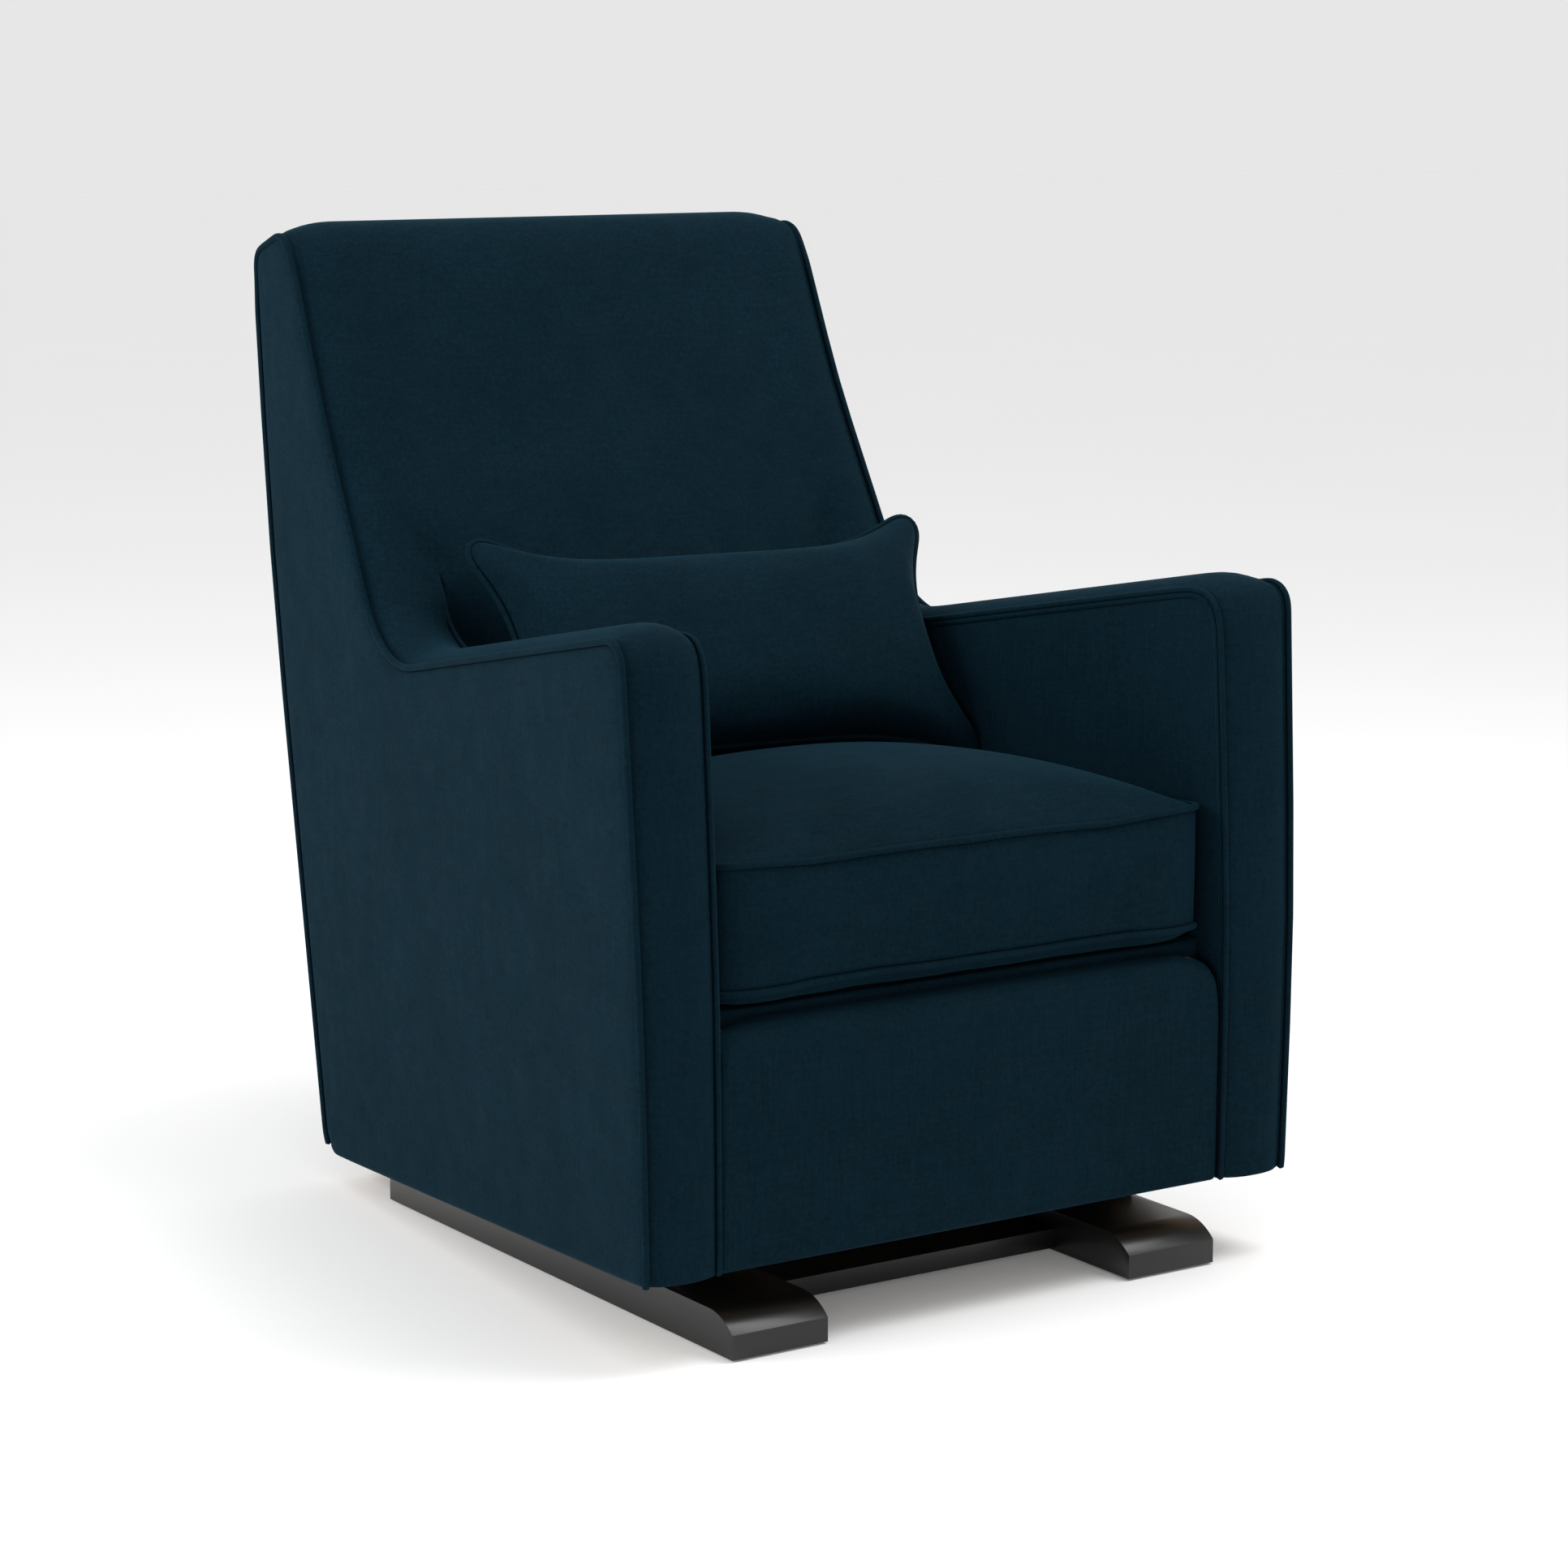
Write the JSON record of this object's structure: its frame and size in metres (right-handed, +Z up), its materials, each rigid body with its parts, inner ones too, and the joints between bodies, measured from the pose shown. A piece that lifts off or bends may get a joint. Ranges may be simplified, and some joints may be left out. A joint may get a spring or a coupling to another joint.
{
  "type": "glider nursery chair",
  "caption": "Upholstered glider armchair with a padded tub body hung on swinging links over a wooden skid base, with a loose seat cushion and a lumbar pillow.",
  "frame": {"origin": "on the floor, under the middle of the whole chair's box", "axes": "+Z up, the seat faces -Y, +X is to the left of a person sitting in the chair, and left_ and right_ in names are as seen from the front"},
  "size_m": [0.7472, 0.8492, 0.9716],
  "materials": {
    "velvet": "dark teal-navy velvet, soft sheen",
    "welt_velvet": "self-fabric welt cord, same velvet",
    "black_cloth": "plain dark cambric and webbing",
    "foam": "open-cell foam and fibre fill",
    "black_wood": "black stained wood, satin lacquer",
    "pine": "bare planed softwood",
    "plywood": "bare plywood",
    "black_steel": "black powder coat",
    "zinc_steel": "bright zinc plate",
    "spring_steel": "oiled spring wire",
    "nylon": "moulded nylon",
    "stop_rubber": "moulded rubber"
  },
  "bodies": {
    "base": {"left_skid": "black_wood", "right_skid": "black_wood", "front_cross_board": "black_wood", "rear_cross_board": "black_wood", "board_dowels": "pine", "floor_pads": "nylon", "front_pivot_brackets": "black_steel", "rear_pivot_brackets": "black_steel", "bracket_screws": "zinc_steel", "glide_stops": "stop_rubber", "upper_pivot_bolts": "zinc_steel", "upper_pivot_nuts": "zinc_steel", "pivot_spacers": "zinc_steel"},
    "front_links": {"left_front_link": "black_steel", "right_front_link": "black_steel", "front_link_bushes": "nylon"},
    "rear_links": {"left_rear_link": "black_steel", "right_rear_link": "black_steel", "rear_link_bushes": "nylon"},
    "chair": {"left_carriage_plate": "black_steel", "right_carriage_plate": "black_steel", "carriage_tubes": "black_steel", "lower_pivot_bolts": "zinc_steel", "lower_pivot_nuts": "zinc_steel", "carriage_bolts": "zinc_steel", "mount_rails": "pine", "front_seat_rail": "pine", "rear_seat_rail": "pine", "seat_springs": "spring_steel", "spring_clips": "zinc_steel", "corner_blocks": "pine", "seat_deck": "black_cloth", "dust_cover": "black_cloth", "apron_board": "plywood", "front_apron": "velvet", "left_side_panel": "velvet", "right_side_panel": "velvet", "left_arm_frame": "plywood", "right_arm_frame": "plywood", "left_back_frame": "plywood", "right_back_frame": "plywood", "arm_posts": "pine", "arm_rails": "pine", "inner_arm_boards": "plywood", "left_inner_arm": "velvet", "right_inner_arm": "velvet", "left_arm_pad": "velvet", "right_arm_pad": "velvet", "side_welts": "welt_velvet", "arm_welts": "welt_velvet", "top_back_rail": "pine", "lower_back_rail": "pine", "rear_hem_rail": "pine", "back_webbing": "black_cloth", "inside_back": "velvet", "outside_back": "velvet"},
    "seat_cushion": {"seat_cushion_cover": "velvet", "seat_cushion_foam": "foam"},
    "lumbar_pillow": {"lumbar_pillow_cover": "velvet", "lumbar_pillow_fill": "foam"}
  },
  "joints": [
    {"name": "glide", "type": "hinge", "parent": "base", "child": "front_links", "pos_m": [0, -0.213, 0.2], "axis": [1, 0, 0], "range_deg": [-25, 25]},
    {"name": "rear_swing", "type": "hinge", "parent": "base", "child": "rear_links", "pos_m": [0, 0.087, 0.2], "axis": [1, 0, 0], "range_deg": [-25, 25]},
    {"name": "carriage_level", "type": "hinge", "parent": "front_links", "child": "chair", "pos_m": [0, -0.213, 0.075], "axis": [1, 0, 0], "range_deg": [-25, 25]},
    {"name": "cushion_lift", "type": "slide", "parent": "chair", "child": "seat_cushion", "axis": [0, 0, 1], "range_m": [0, 0.25]},
    {"name": "pillow_lift", "type": "slide", "parent": "seat_cushion", "child": "lumbar_pillow", "axis": [0, 0, 1], "range_m": [0, 0.2]}
  ],
  "couplings": [
    {"joint": "rear_swing", "follows": "glide", "ratio": 1},
    {"joint": "carriage_level", "follows": "glide", "ratio": -1}
  ]
}
